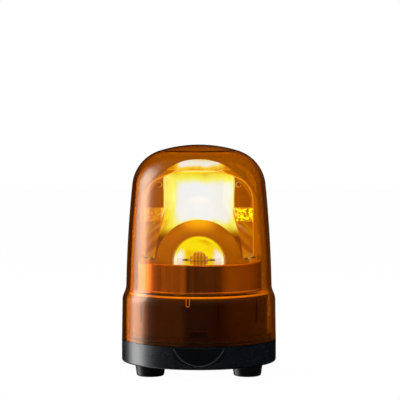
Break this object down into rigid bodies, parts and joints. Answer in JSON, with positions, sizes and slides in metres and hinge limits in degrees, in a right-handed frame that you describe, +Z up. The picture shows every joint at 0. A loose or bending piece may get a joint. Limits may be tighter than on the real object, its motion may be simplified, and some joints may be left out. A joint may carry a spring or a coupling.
{
  "type": "rotating beacon",
  "caption": "Round signal beacon: amber domed globe on a black base with rubber feet, holding a motor-driven drum with a concave mirror that turns round a fixed LED.",
  "frame": {"origin": "middle of the circle on which the three rubber feet stand", "axes": "+Z up along the beacon's axis of rotation, -Y towards the cover of the side cable outlet"},
  "size_m": [0.1, 0.1, 0.1475],
  "materials": {
    "globe": "polished",
    "black_plastic": "satin",
    "rubber": "matte",
    "brass": "turned",
    "steel": "zinc plated",
    "motor_can": "plated",
    "aluminium": "turned",
    "board_white": "solder mask",
    "led_body": "ceramic",
    "led_lens": "clear",
    "acetal": "natural",
    "bronze": "sintered",
    "metallised": "metallised",
    "mirror": "polished",
    "board_green": "solder mask",
    "terminal_green": "satin",
    "capacitor": "sleeved",
    "ferrite": "matte",
    "chip": "matte"
  },
  "bodies": {
    "base": {"base_housing": "black_plastic", "outlet_cover": "black_plastic", "rubber_feet": "rubber", "mounting_inserts": "brass", "cable_grommet": "rubber", "chassis": "black_plastic", "chassis_screws": "steel", "globe_seal": "rubber", "led_pillar": "aluminium", "pillar_screws": "steel", "thrust_washer": "acetal", "retaining_ring": "steel", "led_board": "board_white", "led_package": "led_body", "led_lens": "led_lens", "motor": "motor_can", "motor_screws": "steel", "main_board": "board_green", "board_screws": "steel", "terminal_block": "terminal_green", "capacitors": "capacitor", "power_inductor": "ferrite", "driver_chips": "chip"},
    "globe": {"globe": "globe"},
    "rotor": {"drum": "metallised", "rotor_bush": "bronze", "drive_ring_gear": "acetal", "reflector_shell": "metallised", "mirror_carrier": "metallised", "main_mirror": "mirror", "light_hood": "metallised", "hood_screws": "steel", "reflector_screws": "steel", "carrier_screws": "steel"},
    "pinion": {"motor_shaft": "steel", "drive_pinion": "acetal"}
  },
  "joints": [
    {"name": "rotor_spin", "type": "hinge", "parent": "base", "child": "rotor", "pos_m": [0, 0, 0.06], "axis": [0, 0, 1], "continuous": true},
    {"name": "pinion_spin", "type": "hinge", "parent": "base", "child": "pinion", "pos_m": [0.01805, 0.02396, 0], "axis": [0, 0, 1], "continuous": true},
    {"name": "globe_twist", "type": "hinge", "parent": "base", "child": "globe", "pos_m": [0, 0, 0.03], "axis": [0, 0, 1], "range_deg": [0, 15]}
  ],
  "couplings": [
    {"joint": "pinion_spin", "follows": "rotor_spin", "ratio": 6}
  ]
}
